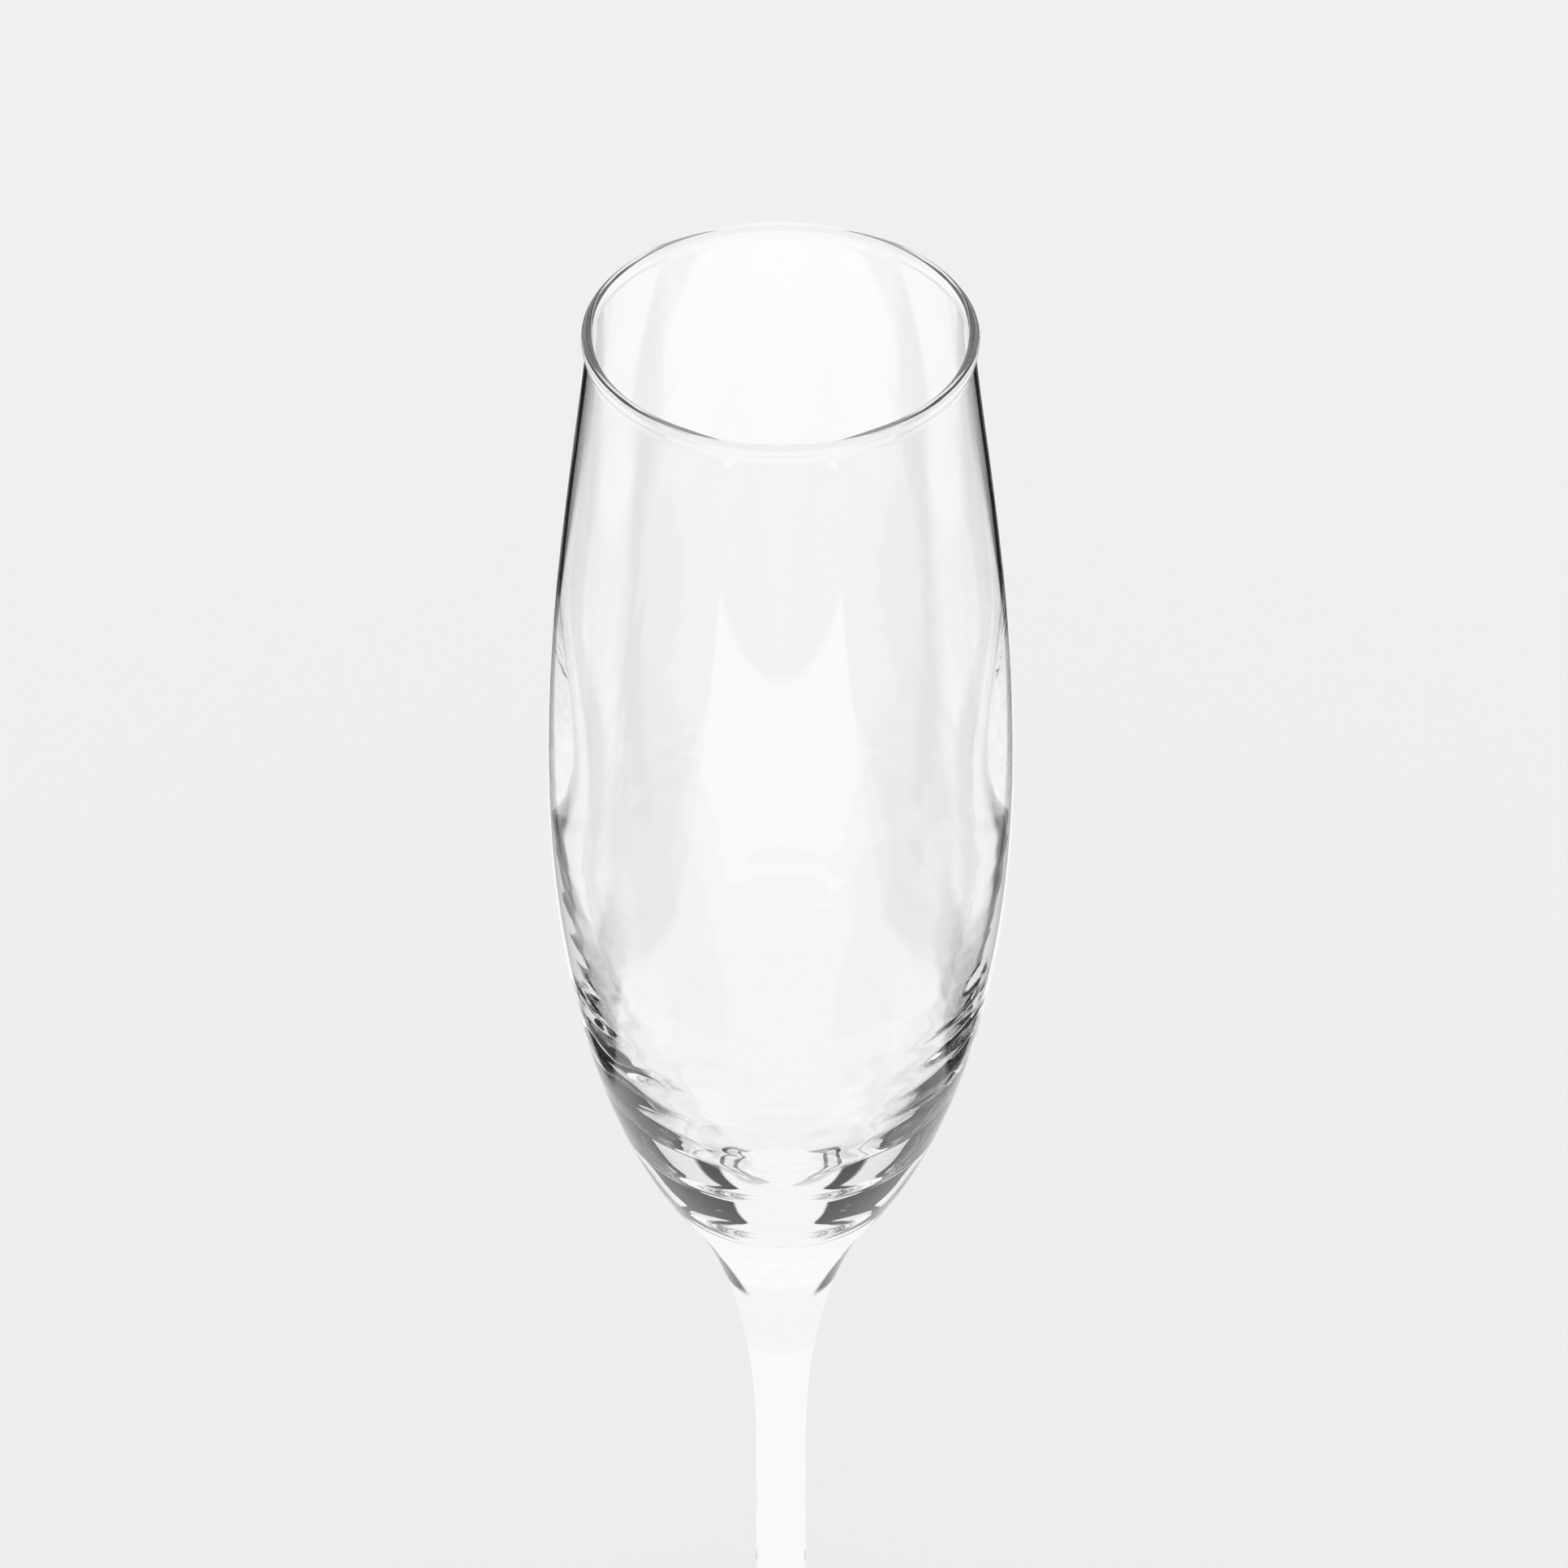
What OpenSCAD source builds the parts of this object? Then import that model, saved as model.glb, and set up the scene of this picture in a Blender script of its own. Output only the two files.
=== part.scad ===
// Champagne flute in clear glass: a blown bowl, a drawn stem and a pressed foot, fused end to end.
// Millimetres. +Z is up and the origin is the centre of the foot's resting plane.

/* [Overall] */
// Height from the table to the top of the rim
total_h = 240; // [200:1:288]

/* [Bowl] */
// Outside diameter over the fire-polished bead at the mouth
rim_d = 46; // [38:0.5:56]
// Thickness of the bead that the fire polish leaves round the mouth
rim_bead_d = 1.4; // [1.2:0.1:2.4]
// Height over which the bead thins into the wall
bead_fade_h = 1.8; // [1.4:0.1:3]
// Thickness of the blown wall in the upper half of the bowl
wall_t = 0.6; // [0.5:0.05:1]
// Thickness of the wall at the belly, before it runs into the thick bottom
belly_wall_t = 1.6; // [1.2:0.05:2]
// Outside diameter at the belly, the widest place
belly_d = 56.5; // [47:0.5:68]
// How far the belly lies below the rim
belly_drop = 67; // [55:1:80]
// Diameter of the throat, where the bowl's curve turns into the flare of the stem
throat_d = 26; // [21.5:0.5:31]
// How far the throat lies below the rim
throat_drop = 133.5; // [111:0.5:160]
// Glass between the weld on the stem and the lowest point of the hollow
base_t = 7.2; // [5.8:0.1:8.8]

/* [Stem] */
// Diameter at the stem's waist, where its flare ends
waist_d = 6.6; // [5.5:0.1:8]
// How far the waist lies below the throat
waist_drop = 43; // [36:1:52]

/* [Foot] */
// Diameter of the weld between stem and foot
foot_weld_d = 9.6; // [8:0.1:11.6]
// Height of the weld between stem and foot above the table
foot_weld_h = 8; // [6.6:0.1:9.6]
// Diameter of the foot
foot_d = 66; // [60:0.5:80]
// Thickness of the foot at its rounded edge
foot_edge_t = 1.8; // [1.4:0.1:2.4]
// Inside diameter of the flat ring that the foot rests on
rest_inner_d = 54; // [44:0.5:56]
// Height of the hollow under the middle of the foot
kick_h = 1.8; // [1:0.1:2.4]

/* [Hidden] */
$fn = 128;

curve_steps = 28; // straight steps in each curve of an outline
bead_steps = 12;  // steps round half of the bead and of the foot's edge

belly_z = total_h - belly_drop;
throat_z = total_h - throat_drop;
waist_z = throat_z - waist_drop;
bead_r = rim_bead_d / 2;
bead_z = total_h - bead_r;
belly_r = belly_d / 2;
throat_r = throat_d / 2;
waist_r = waist_d / 2;
foot_weld_r = foot_weld_d / 2;
edge_r = foot_edge_t / 2;
rest_outer_r = foot_d / 2 - edge_r;

// The neck is where the bead has thinned into the wall, equally from both sides.
neck_z = bead_z - bead_fade_h;
neck_r = rim_d / 2 - (rim_bead_d - wall_t) / 2;

// Slope of the outside at the mouth and at the throat, in degrees below level.
// Under 90 it falls outwards and over 90 it falls inwards.
mouth_slope = 85;
throat_slope = 123;

// The wall thickens from this share of the way between the neck and the belly.
thin_share = 0.5;

// Length of each curve handle, as a share of the curve's height
neck_pull = 0.18;
belly_pull = 0.43;
shoulder_pull = 0.67;
throat_pull = 0.045;
flare_pull = 0.175;
waist_pull = 0.54;
tail_pull = 0.5;
hollow_pull = 0.57;
// Length of the level handle at the lowest point of the hollow, as a share of the belly's radius
floor_pull = 0.55;

// Share of the flare's curve that belongs to the bowl; the weld is at its end
weld_share = 0.22;

// Point at t on the cubic curve whose ends and handles are the four points in c.
function on_curve(c, t) = let (s = 1 - t)
    s * s * s * c[0] + 3 * s * s * t * c[1] + 3 * s * t * t * c[2] + t * t * t * c[3];

// Points of that curve from one share of it to another, without the first one.
function curve(c, from = 0, to = 1) =
    [for (i = [1 : curve_steps]) on_curve(c, from + (to - from) * i / curve_steps)];

// Arc round a centre from one angle to another, as points with both ends.
function arc(centre, r, from, to) =
    [for (i = [0 : bead_steps]) let (turn = from + (to - from) * i / bead_steps)
        centre + r * [cos(turn), sin(turn)]];

// A step of the given length along a slope.
function fall(slope, length) = length * [cos(slope), -sin(slope)];

// Rises smoothly from 0 to 1 as t does.
function eased(t) = let (u = min(max(t, 0), 1)) u * u * (3 - 2 * u);

// S-curve from the side of the bead down to the wall under it.
function neck(from_r, to_r) =
    curve([[from_r, bead_z],
           [from_r, bead_z - bead_fade_h / 2],
           [to_r, neck_z + bead_fade_h / 2],
           [to_r, neck_z]]);

function backwards(points) = [for (i = [len(points) - 1 : -1 : 0]) points[i]];

// The flare from the throat to the waist, shared by the bowl and the stem.
flare = [[throat_r, throat_z],
         [throat_r, throat_z] + fall(throat_slope, flare_pull * waist_drop),
         [waist_r, waist_z + waist_pull * waist_drop],
         [waist_r, waist_z]];
weld = on_curve(flare, weld_share);
hollow_z = weld.y + base_t;

// Outside of the wall, from the neck down to the belly.
wall_h = neck_z - belly_z;
wall_outside =
    curve([[neck_r, neck_z],
           [neck_r, neck_z] + fall(mouth_slope, neck_pull * wall_h),
           [belly_r, belly_z + belly_pull * wall_h],
           [belly_r, belly_z]]);

// Inside of the wall, which lies one thickness further in.
wall_inside =
    [for (p = wall_outside)
        let (share = ((neck_z - p.y) / wall_h - thin_share) / (1 - thin_share))
        p - [wall_t + (belly_wall_t - wall_t) * eased(share), 0]];

// Outside of the bowl, from the side of the bead down to the weld.
function bowl_outside() =
    let (cup_h = belly_z - throat_z)
    concat(
        neck(rim_d / 2, neck_r),
        wall_outside,
        curve([[belly_r, belly_z],
               [belly_r, belly_z - shoulder_pull * cup_h],
               flare[0] - fall(throat_slope, throat_pull * cup_h),
               flare[0]]),
        curve(flare, 0, weld_share));

// The hollow, from its lowest point up to the side of the bead.
function bowl_inside() =
    let (inner_r = belly_r - belly_wall_t, cup_h = belly_z - hollow_z)
    concat(
        curve([[0, hollow_z],
               [floor_pull * inner_r, hollow_z],
               [inner_r, belly_z - hollow_pull * cup_h],
               [inner_r, belly_z]], 0, 1 - 1 / curve_steps),
        backwards(wall_inside),
        backwards(neck(rim_d / 2 - rim_bead_d, neck_r - wall_t)));

module bowl() {
    color("aliceblue", 0.35)
        rotate_extrude()
            polygon(concat(
                [[0, weld.y], [0, hollow_z]],
                bowl_inside(),
                arc([rim_d / 2 - bead_r, bead_z], bead_r, 180, 0),
                bowl_outside()));
}

module stem() {
    tail_h = waist_z - foot_weld_h;
    color("aliceblue", 0.35)
        rotate_extrude()
            polygon(concat(
                [[0, foot_weld_h], [0, weld.y], weld],
                curve(flare, weld_share, 1),
                curve([[waist_r, waist_z],
                       [waist_r, waist_z - tail_pull * tail_h],
                       [waist_r, foot_weld_h + 0.15 * tail_h],
                       [foot_weld_r, foot_weld_h]])));
}

module foot() {
    color("aliceblue", 0.35)
        rotate_extrude()
            polygon(concat(
                [[0, kick_h], [0, foot_weld_h], [foot_weld_r, foot_weld_h]],
                curve([[foot_weld_r, foot_weld_h],
                       [foot_weld_r + 2, foot_weld_h - 3.5],
                       [foot_weld_r + 9, foot_edge_t + 1.4],
                       [rest_outer_r, foot_edge_t]]),
                arc([rest_outer_r, edge_r], edge_r, 90, -90),
                [[rest_inner_d / 2, 0]],
                curve([[rest_inner_d / 2, 0],
                       [0.35 * rest_inner_d, 0.5 * kick_h],
                       [0.2 * rest_inner_d, kick_h],
                       [0, kick_h]])));
}

bowl();
stem();
foot();
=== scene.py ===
"""Champagne flute in clear glass: bowl, stem and foot, each a closed surface of revolution."""
import math

import bpy
import numpy as np
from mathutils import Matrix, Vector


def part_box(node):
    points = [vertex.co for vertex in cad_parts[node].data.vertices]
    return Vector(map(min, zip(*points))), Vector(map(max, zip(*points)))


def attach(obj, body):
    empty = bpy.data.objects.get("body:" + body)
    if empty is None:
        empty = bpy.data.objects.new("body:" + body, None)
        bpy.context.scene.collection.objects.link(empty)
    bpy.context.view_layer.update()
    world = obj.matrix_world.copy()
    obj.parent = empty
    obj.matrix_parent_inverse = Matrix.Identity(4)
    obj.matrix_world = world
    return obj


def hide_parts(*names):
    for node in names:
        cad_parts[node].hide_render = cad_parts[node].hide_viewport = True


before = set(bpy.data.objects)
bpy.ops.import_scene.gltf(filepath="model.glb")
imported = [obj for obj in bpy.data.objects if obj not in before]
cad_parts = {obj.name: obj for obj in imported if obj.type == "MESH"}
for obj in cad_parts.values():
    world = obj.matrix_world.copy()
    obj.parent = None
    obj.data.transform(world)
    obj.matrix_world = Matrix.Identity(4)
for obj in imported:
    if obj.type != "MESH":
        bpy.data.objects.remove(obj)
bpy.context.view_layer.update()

bl_info = {
    "name": "Champagne flute",
    "version": (1, 0, 0),
    "blender": (4, 5, 0),
    "location": "View3D > Sidebar > Flute",
    "description": "Builds a clear glass champagne flute from its bowl, stem and foot",
    "category": "Object",
}

bowl_low, bowl_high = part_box("bowl")
stem_low, stem_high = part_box("stem")
foot_low, foot_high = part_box("foot")

FULL_TURN = 2 * math.pi

# Slope of the outside in degrees below level. Under 90 it falls outwards, over 90 inwards.
MOUTH_SLOPE = 85
THROAT_SLOPE = 123

# Length of each curve handle, as a share of the curve's height
NECK_PULL = 0.18
BELLY_PULL = 0.43
SHOULDER_PULL = 0.67
THROAT_PULL = 0.045
FLARE_PULL = 0.175
WAIST_PULL = 0.54
TAIL_PULL = 0.5
SPREAD_PULL = 0.15

# The wall thickens from this share of the way between the neck and the belly
THIN_SHARE = 0.5

# Handles of the foot's top: out and up from the weld, then out from the weld and up from the edge
FOOT_STEEP = (0.002, -0.0035)
FOOT_SHALLOW = (0.009, 0.0014)

FINE = 2000       # steps of an outline before it is cut into rows
BEAD_STEPS = 24   # steps round the bead
EDGE_STEPS = 16   # steps round the foot's edge
AROUND = 256      # points round the axis

# Distance between rows, along the outline
BOTTOM_GAP = 0.00012
WALL_GAP = 0.0011
LIP_GAP = 0.0002
ROD_GAP = 0.0006
REST_GAP = 0.001
WELD_GAP = 0.00003

BOTTOM_R = 0.007  # radius of the hollow's bottom, where the rows are close
LIP_SHARE = 2.2   # height of the lip's close rows, in heights of the bead's fade

# Unevenness inside the bowl
CORDS = 26
DENTS = 9
RIDGES = 6
CALM_H = 0.014        # the wall is even up to this height above the hollow's bottom
CALM_FADE_H = 0.02    # and reaches its full unevenness over this height
RING_SPACING = 0.0006
RING_R = 0.005        # the fine rings fade out at this radius
RING_H = 0.004        # and lie below this height above the hollow's bottom


# ---------------------------------------------------------------- sizes

def length(name, default, description):
    return bpy.props.FloatProperty(
        name=name, description=description, default=default, unit="LENGTH", precision=5)


def share(name, default, description):
    return bpy.props.FloatProperty(
        name=name, description=description, default=default, subtype="FACTOR", min=0, max=1)


class FluteSizes(bpy.types.PropertyGroup):
    """Sizes of the three pieces of glass."""

    top: length("Rim height", bowl_high.z, "Height of the rim above the table")
    belly: length("Belly diameter", 2 * bowl_high.x, "Outside diameter at the widest place")
    bowl_weld_z: length("Bowl weld height", bowl_low.z, "Height of the weld between bowl and stem")
    bowl_weld: length("Bowl weld diameter", 2 * stem_high.x, "Diameter of the weld between bowl and stem")
    foot_weld_z: length("Foot weld height", stem_low.z, "Height of the weld between stem and foot")
    foot: length("Foot diameter", 2 * foot_high.x, "Diameter of the foot")
    rim: length("Rim diameter", 0.046, "Outside diameter over the bead at the mouth")
    bead: length("Rim bead", 0.0014, "Thickness of the fire-polished bead")
    bead_fade: length("Bead fade", 0.0018, "Height over which the bead thins into the wall")
    wall: length("Mouth wall", 0.0006, "Thickness of the blown wall under the bead")
    belly_wall: length("Belly wall", 0.0016, "Thickness of the wall at the belly")
    belly_drop: length("Belly drop", 0.067, "How far the belly lies below the rim")
    throat: length("Throat diameter", 0.026, "Diameter where the bowl's curve turns into the flare")
    throat_drop: length("Throat drop", 0.1335, "How far the throat lies below the rim")
    hollow_drop: length("Hollow depth", 0.1315, "How far the bottom of the hollow lies below the rim")
    hollow_pull: share("Hollow fullness", 0.57, "How far down the hollow's side stays upright")
    floor_pull: share("Hollow flatness", 0.55, "How far out the hollow's bottom stays level")
    waist: length("Stem waist", 0.0066, "Diameter of the stem where its flare ends")
    waist_drop: length("Waist drop", 0.043, "How far the waist lies below the throat")
    foot_weld: length("Foot weld diameter", 0.0096, "Diameter of the weld between stem and foot")
    edge: length("Foot edge", 0.0018, "Thickness of the foot at its rounded edge")
    rest_inner: length("Resting ring", 0.054, "Inside diameter of the flat ring under the foot")
    kick: length("Foot hollow", 0.0018, "Height of the hollow under the middle of the foot")


class FluteGlass(bpy.types.PropertyGroup):
    """Look of the glass."""

    tint: bpy.props.FloatVectorProperty(
        name="Tint", description="Colour that the glass lets through", subtype="COLOR",
        size=3, min=0, max=1, default=(1.0, 1.0, 1.0))
    ior: bpy.props.FloatProperty(
        name="Index", description="Index of refraction of the glass", default=1.52, min=1.3, max=1.8)
    skin_spacing: length("Skin spacing", 0.02, "Spacing of the faint swells of the polished skin")
    skin_height: length("Skin height", 0.00001, "Height of the faint swells of the polished skin")
    cord_height: length("Cord height", 0.00012, "Height of the waves inside the thick lower wall")
    ridge_height: length("Ridge height", 0.000025, "Height of the nearly level ridges in the lower wall")
    ring_height: length("Ring height", 0.000004, "Height of the fine rings at the bottom of the hollow")


class FluteStage(bpy.types.PropertyGroup):
    """Light and floor round the glass, with the light and shade painted into the floor's and the world's
    colour where they are seen in or through the glass. Behind is +Y and in front is -Y.
    """

    pale: share("Floor", 0.876, "Brightness of the pale floor")
    # Painted light and shade, seen only in or through the glass: the floor's glow near and far, the
    # painted dark of everything counted as unlit, and the painted dark room behind the camera.
    near: share("Near light", 0.95, "Brightness of the floor near the glass, seen through it")
    far: share("Far light", 0.99, "Brightness of the floor behind the glass, seen through it")
    dark: share("Dark studio", 0.01, "Brightness of everything unlit, seen in or through the glass")
    behind: share("Dark side", 0.01, "Brightness of the room behind the camera")
    # Painted shade seen by reflection: the lit table top, the steps past it, the dark strips and the edge
    # of the lit floor are painted into the floor's colour, not made by lamps or flags.
    half_width: length("Table half width", 0.18, "Half width of the lit table top beside the glass")
    widens: share("Table widening", 0.3, "How fast the lit table top widens in front, per length")
    narrows: length("Table narrowing", 0.1, "How far behind the glass the lit table top has narrowed")
    back_width: length("Table back half width", 0.085, "Half width of the lit table top behind the glass")
    front: length("Table front", 0.47, "How far the lit table top reaches in front of the glass")
    step: share("Table step", 0.13, "How much darker it is past the lit table top, behind the glass")
    front_step: share("Front step", 0.75, "How much darker it is past it, in front of the glass")
    painted_strip_width: length("Dark strip", 0.055, "Width of the dark strips behind the glass, one each side")
    painted_strip_wide: length("Far dark strip", 0.3, "Width of the dark strips further back")
    back: length("Strip change", 0.25, "How far behind the glass the dark strips start to widen")
    painted_room: length("Room half width", 0.6, "Half width of the floor that is lit at all")
    # Painted shade: dark cards painted into the floor's and the world's colour, seen only in or through
    # the glass; no cards stand there.
    painted_card_dark: share("Card strength", 0.98, "How dark the cards are, seen through the glass")
    painted_card_inner: length("Card inner edge", 0.1, "How far out the dark cards begin")
    painted_card_front: length("Card front edge", 0.25, "How far behind the glass the dark cards begin")
    painted_card_spread: share("Card spread", 0.9, "How fast the cards draw apart with distance, per length")


# ---------------------------------------------------------------- outlines

def cubic(a, b, c, d, steps):
    """Cubic curve from a to d with handles b and c, as steps + 1 points."""
    t = np.linspace(0, 1, steps + 1)[:, None]
    a, b, c, d = (np.asarray(p, float) for p in (a, b, c, d))
    s = 1 - t
    return s**3 * a + 3 * s**2 * t * b + 3 * s * t**2 * c + t**3 * d


def arc(centre, radius, start, end, steps):
    """Points of a circle round centre from the angle start to the angle end, in radians."""
    turn = np.linspace(start, end, steps + 1)[:, None]
    return np.asarray(centre) + radius * np.hstack([np.cos(turn), np.sin(turn)])


def fall(slope, run):
    """A step of the given length down a slope in degrees."""
    return run * np.array([math.cos(math.radians(slope)), -math.sin(math.radians(slope))])


def eased(t):
    """3 t^2 - 2 t^3, with t held between 0 and 1."""
    t = np.clip(t, 0, 1)
    return t**2 * (3 - 2 * t)


def evenly(points, gap, welds=""):
    """The same outline with points about a gap apart, spaced by the length along it. An end named
    in welds, first or last, gets one more point close by, so that its shading follows the curve."""
    run = np.r_[0, np.cumsum(np.hypot(*np.diff(points, axis=0).T))]
    at = np.linspace(0, run[-1], max(2, int(round(run[-1] / gap))) + 1)
    if "first" in welds:
        at = np.insert(at, 1, WELD_GAP)
    if "last" in welds:
        at = np.insert(at, -1, run[-1] - WELD_GAP)
    return np.column_stack([np.interp(at, run, points[:, k]) for k in (0, 1)])


def bowl_curves(s):
    """Inside, bead and outside of the bowl as (radius, height) points. The outside is one cubic
    from the neck to the belly and one from the belly to the throat, then the flare. The inside of
    the wall is the outside less the wall, and one cubic makes the hollow under it."""
    bead_r, belly_r, throat_r = s.bead / 2, s.belly / 2, s.throat / 2
    bead_z, belly_z = s.top - bead_r, s.top - s.belly_drop
    neck_z, neck_r = bead_z - s.bead_fade, s.rim / 2 - (s.bead - s.wall) / 2
    throat_z, hollow_z = s.top - s.throat_drop, s.top - s.hollow_drop
    wall_h, cup_h = neck_z - belly_z, belly_z - throat_z
    inner_r = belly_r - s.belly_wall

    def neck(from_r, to_r):
        """S-curve from the side of the bead down to the wall under it."""
        half = s.bead_fade / 2
        return cubic((from_r, bead_z), (from_r, bead_z - half),
                     (to_r, neck_z + half), (to_r, neck_z), FINE)

    outer = cubic((neck_r, neck_z), (neck_r, neck_z) + fall(MOUTH_SLOPE, NECK_PULL * wall_h),
                  (belly_r, belly_z + BELLY_PULL * wall_h), (belly_r, belly_z), FINE)
    under = cubic((belly_r, belly_z), (belly_r, belly_z - SHOULDER_PULL * cup_h),
                  (throat_r, throat_z) - fall(THROAT_SLOPE, THROAT_PULL * cup_h),
                  (throat_r, throat_z), FINE)
    way = (neck_z - outer[:, 1]) / wall_h
    wall = s.wall + (s.belly_wall - s.wall) * eased((way - THIN_SHARE) / (1 - THIN_SHARE))
    inner = outer - np.column_stack([wall, 0 * wall])
    hollow = cubic((0, hollow_z), (s.floor_pull * inner_r, hollow_z),
                   (inner_r, belly_z - s.hollow_pull * (belly_z - hollow_z)), (inner_r, belly_z), FINE)
    inner_neck = neck(s.rim / 2 - s.bead, neck_r - s.wall)
    bead = arc((s.rim / 2 - bead_r, bead_z), bead_r, math.pi, 0, BEAD_STEPS)
    flare, _ = flare_curves(s)
    return (np.vstack([hollow, inner[-2::-1], inner_neck[-2::-1]]),
            bead,
            np.vstack([neck(s.rim / 2, neck_r), outer[1:], under[1:], flare[1:]]))


def flare_curves(s):
    """The flare from the throat to the waist, one cubic, as its part above the bowl weld and its
    part below."""
    throat = np.array([s.throat / 2, s.top - s.throat_drop])
    waist = np.array([s.waist / 2, throat[1] - s.waist_drop])
    whole = cubic(throat, throat + fall(THROAT_SLOPE, FLARE_PULL * s.waist_drop),
                  waist + (0, WAIST_PULL * s.waist_drop), waist, 2 * FINE)
    hair = 1e-7
    high = whole[whole[:, 1] > s.bowl_weld_z + hair]
    low = whole[whole[:, 1] < s.bowl_weld_z - hair]
    weld = [(s.bowl_weld / 2, s.bowl_weld_z)]
    return np.vstack([high, weld]), np.vstack([weld, low])


def stem_curve(s):
    """Outside of the stem from the bowl weld down: a flare into a straight, then a slight spread."""
    _, flare = flare_curves(s)
    waist_r, waist_z = flare[-1]
    tail_h = waist_z - s.foot_weld_z
    tail = cubic((waist_r, waist_z), (waist_r, waist_z - TAIL_PULL * tail_h),
                 (waist_r, s.foot_weld_z + SPREAD_PULL * tail_h),
                 (s.foot_weld / 2, s.foot_weld_z), FINE)
    return np.vstack([flare, tail[1:]])


def foot_curves(s):
    """Top, rounded edge, flat ring and hollow underside of the foot."""
    weld_r, edge_r = s.foot_weld / 2, s.edge / 2
    rest_r, ring_r = s.foot / 2 - edge_r, s.rest_inner / 2
    top = cubic((weld_r, s.foot_weld_z), (weld_r + FOOT_STEEP[0], s.foot_weld_z + FOOT_STEEP[1]),
                (weld_r + FOOT_SHALLOW[0], s.edge + FOOT_SHALLOW[1]), (rest_r, s.edge), FINE // 2)
    edge = arc((rest_r, edge_r), edge_r, math.pi / 2, -math.pi / 2, EDGE_STEPS)
    ring = np.array([(rest_r, 0), (ring_r, 0)])
    hollow = cubic((ring_r, 0), (0.7 * ring_r, 0.5 * s.kick), (0.4 * ring_r, s.kick),
                   (0, s.kick), FINE // 2)
    return top, edge, ring, hollow


# ---------------------------------------------------------------- surfaces

def uneven_inside(s, look, inside_rows):
    """A function of angle, radius and height that moves the first inside_rows rows of the bowl.
    The radius moves by cords, each a bell curve of the angle off a sloping line, by dents, each a
    bell curve of angle and height, and by ridges, each a sine of the height that leans a little
    round the bowl. They grow from nothing at the belly in proportion to the depth, and fade out
    near the bottom. The height moves by fine rings, a cosine of the radius, near the axis."""
    floor_z, thick_z = s.top - s.hollow_drop, s.top - s.belly_drop
    seed = np.random.default_rng(7)
    cords = [(seed.uniform(-math.pi, math.pi), seed.uniform(20, 60) * seed.choice([-1, 1]),
              seed.uniform(0.03, 0.12), seed.uniform(-1, 1)) for _ in range(CORDS)]
    dents = [(seed.uniform(-math.pi, math.pi), floor_z + seed.uniform(0.025, 0.055),
              seed.uniform(0.12, 0.3), seed.uniform(0.003, 0.008), seed.choice([-1, 1]))
             for _ in range(DENTS)]
    ridges = [(FULL_TURN / seed.uniform(0.002, 0.006), seed.uniform(0, FULL_TURN),
               seed.uniform(0, FULL_TURN), seed.uniform(0.5, 2)) for _ in range(RIDGES)]

    def off(angle):
        """The same angle, between half a turn back and half a turn on."""
        return (angle + math.pi) % FULL_TURN - math.pi

    def push(angle, r, z):
        inside = np.arange(len(r))[:, None] < inside_rows
        depth = np.clip((thick_z - z) / (thick_z - floor_z), 0, 1)
        swell = inside * depth * eased((z - floor_z - CALM_H) / CALM_FADE_H)
        cord = sum(height * np.exp(-(off(angle - middle - slope * (z - floor_z)) / width)**2)
                   for middle, slope, width, height in cords)
        dent = sum(2 * sign * np.exp(-(off(angle - middle) / width)**2 - ((z - level) / tall)**2)
                   for middle, level, width, tall, sign in dents)
        ridge = sum(np.sin(pitch * z + start + lean * np.sin(angle + lean_start))
                    for pitch, start, lean_start, lean in ridges)
        ring = np.cos(FULL_TURN * r / RING_SPACING) * np.clip(1 - r / RING_R, 0, 1)
        return (r + swell * (look.cord_height * (cord + dent) + look.ridge_height * ridge),
                z + inside * (z < floor_z + RING_H) * look.ring_height * ring)

    return push


def swept(rows, push=None):
    """Points of a surface of revolution: each (r, z) row turned round Z at AROUND even angles.
    push moves the grid of r and z by a function of angle, r and z."""
    angle = np.linspace(0, FULL_TURN, AROUND, endpoint=False)[None, :]
    r = np.repeat(rows[:, :1], AROUND, 1)
    z = np.repeat(rows[:, 1:], AROUND, 1)
    if push is not None:
        r, z = push(angle, r, z)
    return np.stack([r * np.cos(angle), r * np.sin(angle), z], -1)


def closed_shell(name, outline, weld_until=None, weld_from=None, push=None):
    """A closed mesh from an outline that starts and ends on the axis. Rows between are rings, and
    the two ends are fans. Faces before the ring weld_until, and from the ring weld_from on, lie on
    a weld: they take the second material, and their outer edge is sharp."""
    grid = swept(outline[1:-1], push)
    rings = len(grid)
    points = np.vstack([[[0, 0, outline[0, 1]]], grid.reshape(-1, 3), [[0, 0, outline[-1, 1]]]])
    ring, step = np.meshgrid(np.arange(rings - 1), np.arange(AROUND), indexing="ij")
    here = 1 + ring * AROUND + step
    beside = 1 + ring * AROUND + (step + 1) % AROUND
    quads = np.stack([here, here + AROUND, beside + AROUND, beside], -1).reshape(-1, 4)
    k = np.arange(AROUND)
    last = 1 + (rings - 1) * AROUND
    first_fan = np.stack([np.zeros(AROUND, int), 1 + k, 1 + (k + 1) % AROUND], -1)
    last_fan = np.stack([np.full(AROUND, len(points) - 1), last + (k + 1) % AROUND, last + k], -1)
    corners = np.concatenate([quads.ravel(), first_fan.ravel(), last_fan.ravel()])
    sides = np.r_[np.full(len(quads), 4), np.full(2 * AROUND, 3)]
    mesh = bpy.data.meshes.new(name)
    mesh.vertices.add(len(points))
    mesh.vertices.foreach_set("co", points.astype(np.float32).ravel())
    mesh.loops.add(len(corners))
    mesh.loops.foreach_set("vertex_index", corners.astype(np.int32))
    mesh.polygons.add(len(sides))
    mesh.polygons.foreach_set("loop_start", np.r_[0, np.cumsum(sides)[:-1]].astype(np.int32))
    mesh.update(calc_edges=True)
    mesh.validate()
    mesh.shade_smooth()
    mark_welds(mesh, np.r_[ring.ravel(), np.full(AROUND, -1), np.full(AROUND, rings)],
               weld_until, weld_from)
    piece = bpy.data.objects.new(name, mesh)
    bpy.context.scene.collection.objects.link(piece)
    return piece


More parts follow.
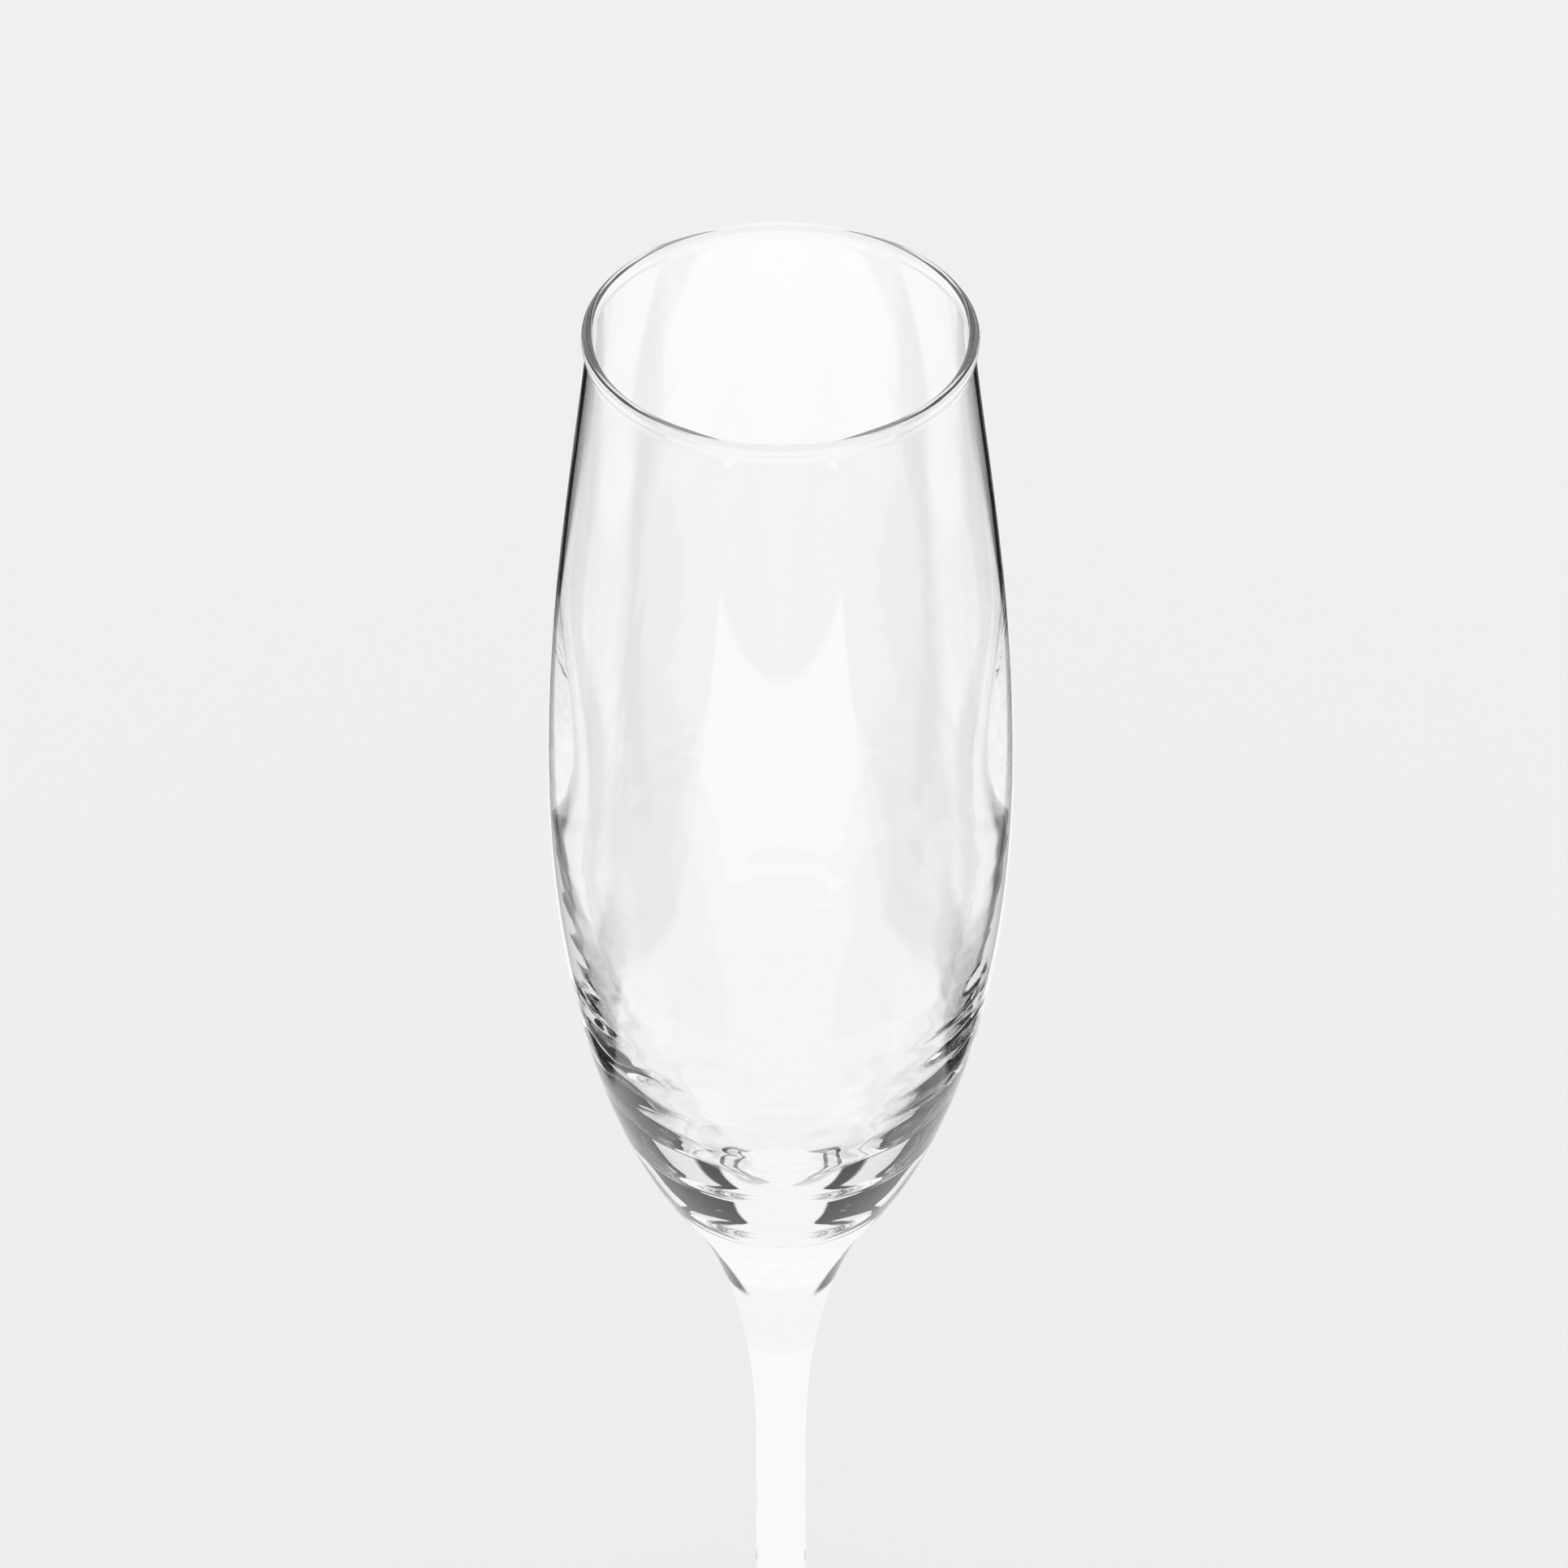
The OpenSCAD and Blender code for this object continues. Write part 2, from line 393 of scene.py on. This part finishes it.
def mark_welds(mesh, row_of_face, weld_until, weld_from):
    """Gives the faces on a weld the second material, and makes the ring at its corner sharp."""
    weld = np.zeros(len(row_of_face), bool)
    if weld_until is not None:
        weld |= row_of_face < weld_until
    if weld_from is not None:
        weld |= row_of_face >= weld_from
    mesh.polygons.foreach_set("material_index", weld.astype(np.int32))
    ends = np.zeros(2 * len(mesh.edges), np.int32)
    mesh.edges.foreach_get("vertices", ends)
    rows = (ends.reshape(-1, 2) - 1) // AROUND
    corners = [row for row in (weld_until, weld_from) if row is not None]
    sharp = (rows[:, 0] == rows[:, 1]) & np.isin(rows[:, 0], corners)
    mesh.attributes.new("sharp_edge", "BOOLEAN", "EDGE").data.foreach_set("value", sharp)


def finish_piece(piece, node, look):
    """Gives a piece its glass and weld materials and its body, and hides the CAD node that it stands in
    for.
    """
    piece.data.materials.append(clear_glass(node + " glass", look))
    piece.data.materials.append(weld_face())
    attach(piece, "root")
    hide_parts(node)


# ---------------------------------------------------------------- materials

def join(tree, kind, props=(), **inputs):
    """Adds a node; each input is a number, a colour or a socket, by its place i0, i1 and so on.
    Returns the node's first output, if it has one."""
    node = tree.nodes.new(kind)
    for name, value in props:
        setattr(node, name, value)
    for key, value in inputs.items():
        socket = node.inputs[int(key[1:])]
        if isinstance(value, bpy.types.NodeSocket):
            tree.links.new(value, socket)
        else:
            socket.default_value = value
    return node.outputs[0] if node.outputs else None


def maths(tree, how, a, b=0.0):
    return join(tree, "ShaderNodeMath", props=[("operation", how)], i0=a, i1=b)


def blend(tree, amount, a, b):
    """a where amount is 0, b where it is 1."""
    return join(tree, "ShaderNodeMix", props=[("data_type", "FLOAT")], i0=amount, i2=a, i3=b)


def ramp(tree, value, low, high, at_low, at_high):
    """Runs smoothly from at_low to at_high as value goes from low to high."""
    return join(tree, "ShaderNodeMapRange", props=[("interpolation_type", "SMOOTHSTEP")],
                i0=value, i1=low, i2=high, i3=at_low, i4=at_high)


def reflected(tree):
    """1 where the ray has been reflected at least once on its way, else 0."""
    path = tree.nodes.new("ShaderNodeLightPath")
    return maths(tree, "GREATER_THAN", path.outputs["Glossy Depth"], 0.5)


def polished_skin():
    """Node group with the faint unevenness that fire polishing leaves: a soft noise of the given
    spacing and height, as a normal."""
    name = "fire-polished skin"
    if name in bpy.data.node_groups:
        return bpy.data.node_groups[name]
    group = bpy.data.node_groups.new(name, "ShaderNodeTree")
    spacing = group.interface.new_socket("Spacing", in_out="INPUT", socket_type="NodeSocketFloat")
    spacing.default_value = 0.02
    height = group.interface.new_socket("Height", in_out="INPUT", socket_type="NodeSocketFloat")
    height.default_value = 0.00001
    group.interface.new_socket("Normal", in_out="OUTPUT", socket_type="NodeSocketVector")
    given = group.nodes.new("NodeGroupInput")
    place = group.nodes.new("ShaderNodeTexCoord").outputs["Object"]
    noise = group.nodes.new("ShaderNodeTexNoise")
    noise.inputs["Detail"].default_value = 1.0
    group.links.new(place, noise.inputs["Vector"])
    group.links.new(maths(group, "DIVIDE", 1.0, given.outputs["Spacing"]), noise.inputs["Scale"])
    bump = group.nodes.new("ShaderNodeBump")
    group.links.new(noise.outputs[0], bump.inputs["Height"])
    group.links.new(given.outputs["Height"], bump.inputs["Distance"])
    ending = group.nodes.new("NodeGroupOutput")
    group.links.new(bump.outputs["Normal"], ending.inputs["Normal"])
    return group


def clear_glass(name, look):
    """Clear, fire-polished glass."""
    material = bpy.data.materials.new(name)
    material.use_nodes = True
    shader = material.node_tree.nodes["Principled BSDF"]
    shader.inputs["Base Color"].default_value = (*look.tint, 1)
    shader.inputs["Roughness"].default_value = 0.0
    shader.inputs["IOR"].default_value = look.ior
    shader.inputs["Transmission Weight"].default_value = 1.0
    skin = material.node_tree.nodes.new("ShaderNodeGroup")
    skin.node_tree = polished_skin()
    skin.inputs["Spacing"].default_value = look.skin_spacing
    skin.inputs["Height"].default_value = look.skin_height
    material.node_tree.links.new(skin.outputs["Normal"], shader.inputs["Normal"])
    return material


def weld_face():
    """The face where two pieces are fused: nothing is seen there."""
    material = bpy.data.materials.get("fused weld") or bpy.data.materials.new("fused weld")
    material.use_nodes = True
    material.node_tree.nodes["Principled BSDF"].inputs["Alpha"].default_value = 0.0
    return material


def painted_reflected_shade(tree, look, x, y):
    """Painted shade: how much light is painted out of the floor where it is seen by reflection: a step
    past a painted lit table top, strong in front of the glass, and black in painted dark strips behind it
    and at the far sides."""
    side = maths(tree, "ABSOLUTE", x)
    half = ramp(tree, y, look.narrows - 0.14, look.narrows, look.half_width, look.back_width)
    ahead = maths(tree, "MAXIMUM", maths(tree, "SUBTRACT", -0.15, y), 0.0)
    half = maths(tree, "ADD", half, maths(tree, "MULTIPLY", ahead, look.widens))
    past = maths(tree, "SUBTRACT", side, half)
    step = maths(tree, "MULTIPLY", ramp(tree, y, -0.08, 0.0, look.front_step, look.step), maths(
        tree, "MAXIMUM", ramp(tree, past, -0.008, 0.008, 0.0, 1.0),
        ramp(tree, y, -look.front - 0.01, -look.front + 0.01, 1.0, 0.0)))
    # Painted dark strips behind the glass, where flags would stand; no flags stand there.
    reach = ramp(tree, y, look.back, look.back + 0.08, look.painted_strip_width, look.painted_strip_wide)
    painted_strip = maths(tree, "MINIMUM", ramp(tree, past, 0.0, 0.01, 0.0, 1.0),
                 ramp(tree, maths(tree, "SUBTRACT", past, reach), 0.0, 0.03, 1.0, 0.0))
    painted_strip = maths(tree, "MULTIPLY", painted_strip, ramp(tree, y, -0.12, 0.02, 0.0, 1.0))
    outside = ramp(tree, side, look.painted_room, look.painted_room + 0.08, 0.0, 1.0)
    return maths(tree, "MAXIMUM", step, maths(tree, "MAXIMUM", painted_strip, outside))


def painted_card_shade(tree, look, x, y):
    """Painted shade: how much of the floor's light, seen in or through the glass, is painted out where
    dark cards would stand at both sides behind the glass, drawing apart with distance. No cards stand
    there."""
    away = maths(tree, "SUBTRACT", y, look.painted_card_front)
    out = maths(tree, "SUBTRACT", maths(tree, "ABSOLUTE", x),
                maths(tree, "MULTIPLY", away, look.painted_card_spread))
    return maths(tree, "MULTIPLY",
                 ramp(tree, out, look.painted_card_inner, look.painted_card_inner + 0.05, 0.0, look.painted_card_dark),
                 ramp(tree, away, 0.0, 0.05, 0.0, 1.0))


def floor_material(look):
    """Pale matt floor. Seen in or through the glass it is painted light: it glows by itself, a little
    brighter with distance, less the painted shade where dark cards would stand and, by reflection, the
    painted shade of the parts of the floor that count as unlit."""
    material = bpy.data.materials.new("pale floor")
    material.use_nodes = True
    tree = material.node_tree
    tree.nodes.clear()
    place = join(tree, "ShaderNodeSeparateXYZ", i0=join(tree, "ShaderNodeNewGeometry"))
    x, y = place.node.outputs[0], place.node.outputs[1]
    # Painted shade: the floor's glow is painted dark where dark cards would stand and, seen by
    # reflection, past the lit table top.
    painted_unlit = maths(tree, "MAXIMUM", painted_card_shade(tree, look, x, y), maths(
        tree, "MULTIPLY", painted_reflected_shade(tree, look, x, y), reflected(tree)))
    shown = blend(tree, painted_unlit, ramp(tree, y, 0.15, 0.5, look.near, look.far), look.dark)
    matt = join(tree, "ShaderNodeBsdfDiffuse", i0=(look.pale,) * 3 + (1,))
    # Painted light: seen in or through the glass the floor glows by itself, as if it were a lamp.
    painted_glow = join(tree, "ShaderNodeEmission", i0=shown, i1=1.0)
    path = tree.nodes.new("ShaderNodeLightPath")
    direct = maths(tree, "MAXIMUM", path.outputs["Is Camera Ray"], path.outputs["Is Diffuse Ray"])
    join(tree, "ShaderNodeOutputMaterial",
         i0=join(tree, "ShaderNodeMixShader", i0=direct, i1=painted_glow, i2=matt))
    return material


def studio_world(look):
    """Even pale light for the floor. Seen through the glass it is bright, with painted dark cards at both
    sides behind it; by reflection it is bright behind the glass and painted dark behind the camera. These
    dark parts are painted shade, seen only in or through the glass; the light on the floor stays even."""
    world = bpy.data.worlds.new("soft studio")
    world.use_nodes = True
    tree = world.node_tree
    tree.nodes.clear()
    way = join(tree, "ShaderNodeSeparateXYZ", i0=join(tree, "ShaderNodeTexCoord"))
    x, y = way.node.outputs[0], way.node.outputs[1]
    # Painted shade: the room behind the camera is painted dark only for rays reflected in the glass.
    painted_room = ramp(tree, y, -0.2, 0.1, look.behind, look.far)
    # Painted dark cards at both sides behind the glass, seen only through it.
    painted_cards = maths(tree, "MULTIPLY", ramp(tree, maths(tree, "ABSOLUTE", x), 0.62, 0.7, 0.0, look.painted_card_dark),
                  ramp(tree, y, 0.0, 0.2, 0.0, 1.0))
    painted_in_glass = blend(tree, reflected(tree), blend(tree, painted_cards, look.far, look.dark), painted_room)
    path = tree.nodes.new("ShaderNodeLightPath")
    on_floor = blend(tree, path.outputs["Is Diffuse Ray"], painted_in_glass, 1.0)
    seen = blend(tree, path.outputs["Is Camera Ray"], on_floor, look.pale)
    join(tree, "ShaderNodeOutputWorld", i0=join(tree, "ShaderNodeBackground", i0=seen, i1=1.0))
    return world


# ---------------------------------------------------------------- pieces

class BuildBowl(bpy.types.Operator):
    """Blow the bowl: hollow, beaded mouth and thick lower wall."""

    bl_idname = "flute.build_bowl"
    bl_label = "Bowl"

    def execute(self, context):
        s, look = context.scene.flute_sizes, context.scene.flute_glass
        hollow, bead, outside = bowl_curves(s)
        lip_z = s.top - LIP_SHARE * s.bead_fade
        at_bottom, at_lip = hollow[:, 0] < BOTTOM_R, hollow[:, 1] > lip_z
        bottom = evenly(hollow[at_bottom], BOTTOM_GAP)
        side = evenly(hollow[~at_bottom & ~at_lip], WALL_GAP)
        rows = np.vstack([
            bottom, side, evenly(hollow[at_lip], LIP_GAP), bead[1:-1],
            evenly(outside[outside[:, 1] > lip_z], LIP_GAP),
            evenly(outside[outside[:, 1] <= lip_z], WALL_GAP, "last"),
            [(s.bowl_weld / 4, s.bowl_weld_z), (0, s.bowl_weld_z)]])
        uneven = uneven_inside(s, look, len(bottom) + len(side) - 1)
        piece = closed_shell("bowl_glass", rows, weld_from=len(rows) - 4, push=uneven)
        finish_piece(piece, "bowl", look)
        return {"FINISHED"}


class BuildStem(bpy.types.Operator):
    """Draw the stem: a flare under the bowl and a slim round rod."""

    bl_idname = "flute.build_stem"
    bl_label = "Stem"

    def execute(self, context):
        s, look = context.scene.flute_sizes, context.scene.flute_glass
        side = evenly(stem_curve(s), ROD_GAP, "first last")
        rows = np.vstack([[(0, s.bowl_weld_z), (s.bowl_weld / 4, s.bowl_weld_z)], side,
                          [(s.foot_weld / 4, s.foot_weld_z), (0, s.foot_weld_z)]])
        piece = closed_shell("stem_glass", rows, weld_until=1, weld_from=len(side))
        finish_piece(piece, "stem", look)
        return {"FINISHED"}


class BuildFoot(bpy.types.Operator):
    """Press the foot: a thin coned disc with a hollow underside."""

    bl_idname = "flute.build_foot"
    bl_label = "Foot"

    def execute(self, context):
        s, look = context.scene.flute_sizes, context.scene.flute_glass
        top, edge, ring, hollow = foot_curves(s)
        rows = np.vstack([[(0, s.foot_weld_z), (s.foot_weld / 4, s.foot_weld_z)],
                          evenly(top, ROD_GAP, "first"), edge[1:], evenly(ring, REST_GAP)[1:],
                          evenly(hollow, ROD_GAP)[1:]])
        piece = closed_shell("foot_glass", rows, weld_until=1)
        finish_piece(piece, "foot", look)
        return {"FINISHED"}


class BuildStage(bpy.types.Operator):
    """Set the pale floor, the soft light and the camera. The floor and the world also carry painted light
    and shade, seen only in or through the glass.
    """

    bl_idname = "flute.build_stage"
    bl_label = "Stage"

    def execute(self, context):
        scene, look = context.scene, context.scene.flute_stage
        floor_r, sides = 14, 96
        turn = np.linspace(0, FULL_TURN, sides, endpoint=False)
        rim = np.column_stack([floor_r * np.cos(turn), floor_r * np.sin(turn), 0 * turn])
        mesh = bpy.data.meshes.new("floor")
        mesh.from_pydata(rim.tolist(), [], [list(range(sides))])
        mesh.materials.append(floor_material(look))
        floor = bpy.data.objects.new("floor", mesh)
        scene.collection.objects.link(floor)
        scene.world = studio_world(look)
        camera = bpy.data.objects.new("camera", bpy.data.cameras.new("camera"))
        camera.location = (0.0004, -0.6249, 0.6726)
        look_down = 38.63
        camera.rotation_euler = (math.radians(90 - look_down), 0, 0)
        camera.data.lens = 151.2
        camera.data.sensor_width = 36
        camera.data.clip_start = 0.01
        camera.data.clip_end = 50
        scene.collection.objects.link(camera)
        scene.camera = camera
        scene.view_settings.view_transform = "Standard"
        glass_bounces = 160
        scene.cycles.max_bounces = glass_bounces
        scene.cycles.transmission_bounces = glass_bounces
        scene.cycles.glossy_bounces = glass_bounces
        scene.cycles.transparent_max_bounces = 24
        return {"FINISHED"}


class FlutePanel(bpy.types.Panel):
    """Lists what can be built, and the sizes and looks it is built with."""

    bl_idname = "VIEW3D_PT_flute"
    bl_label = "Champagne flute"
    bl_space_type = "VIEW_3D"
    bl_region_type = "UI"
    bl_category = "Flute"

    def draw(self, context):
        scene = context.scene
        for operator in OPERATORS:
            self.layout.operator(operator.bl_idname)
        for group in (scene.flute_sizes, scene.flute_glass, scene.flute_stage):
            for name in group.__annotations__:
                self.layout.prop(group, name)


OPERATORS = (BuildStage, BuildBowl, BuildStem, BuildFoot)
CLASSES = (FluteSizes, FluteGlass, FluteStage, *OPERATORS, FlutePanel)


def register():
    for cls in CLASSES:
        bpy.utils.register_class(cls)
    bpy.types.Scene.flute_sizes = bpy.props.PointerProperty(type=FluteSizes)
    bpy.types.Scene.flute_glass = bpy.props.PointerProperty(type=FluteGlass)
    bpy.types.Scene.flute_stage = bpy.props.PointerProperty(type=FluteStage)


def unregister():
    del bpy.types.Scene.flute_stage
    del bpy.types.Scene.flute_glass
    del bpy.types.Scene.flute_sizes
    for cls in reversed(CLASSES):
        bpy.utils.unregister_class(cls)


def main():
    """Builds everything."""
    register()
    bpy.ops.flute.build_stage()
    bpy.ops.flute.build_bowl()
    bpy.ops.flute.build_stem()
    bpy.ops.flute.build_foot()


if __name__ == "__main__":
    main()
